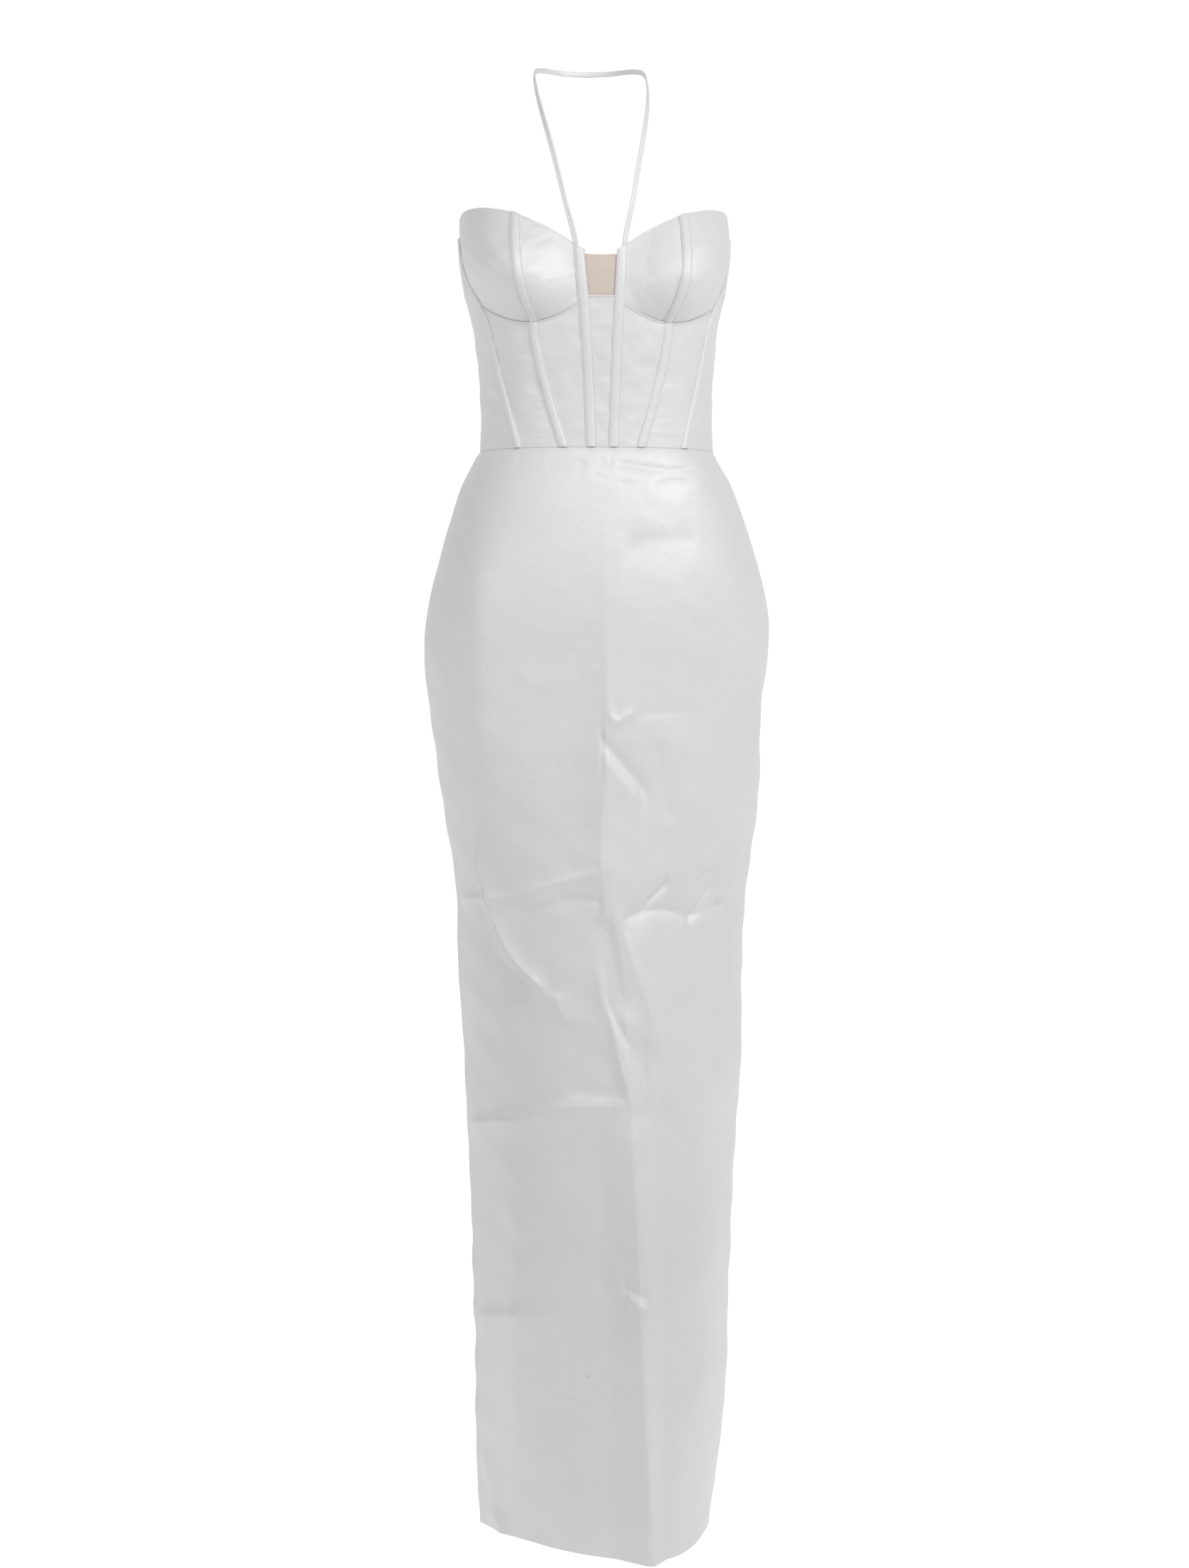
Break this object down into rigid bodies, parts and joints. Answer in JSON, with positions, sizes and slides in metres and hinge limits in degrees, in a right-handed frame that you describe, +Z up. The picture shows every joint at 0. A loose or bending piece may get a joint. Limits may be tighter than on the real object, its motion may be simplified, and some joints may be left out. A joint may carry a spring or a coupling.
{
  "type": "halter dress",
  "caption": "Floor-length halter dress in heavy satin: boned bodice with cups and a sheer inset, narrow neck strap and a straight skirt.",
  "frame": {"origin": "the middle of the neck strap's inner face at the nape, where the wearer's neck holds the dress up", "axes": "+Z up, front towards -Y, +X to the wearer's left"},
  "size_m": [0.3655, 0.3027, 1.5479],
  "materials": {
    "satin": "heavy ivory-white satin with a soft sheen",
    "nude_mesh": "sheer nude mesh",
    "zip_tape": "plain woven tape",
    "zip_metal": "white lacquer"
  },
  "bodies": {
    "dress": {"centre_front": "satin", "sheer_inset": "nude_mesh", "cup_inner_L": "satin", "cup_outer_L": "satin", "front_panel_L": "satin", "front_side_L": "satin", "side_panel_L": "satin", "side_back_L": "satin", "centre_back_L": "satin", "channel_centre_L": "satin", "channel_cup_L": "satin", "channel_mid_L": "satin", "channel_side_L": "satin", "cup_inner_R": "satin", "cup_outer_R": "satin", "front_panel_R": "satin", "front_side_R": "satin", "side_panel_R": "satin", "side_back_R": "satin", "centre_back_R": "satin", "channel_centre_R": "satin", "channel_cup_R": "satin", "channel_mid_R": "satin", "channel_side_R": "satin", "halter_strap": "satin", "skirt_front": "satin", "skirt_back_L": "satin", "skirt_back_R": "satin", "zip_tape": "zip_tape", "zip_slider": "zip_metal"},
    "pull": {"zip_pull": "zip_metal"}
  },
  "joints": [
    {"name": "pull_hinge", "type": "hinge", "parent": "dress", "child": "pull", "pos_m": [0.00506, 0.03583, -0.207], "axis": [1, 0, 0], "range_deg": [-8, 170]}
  ]
}
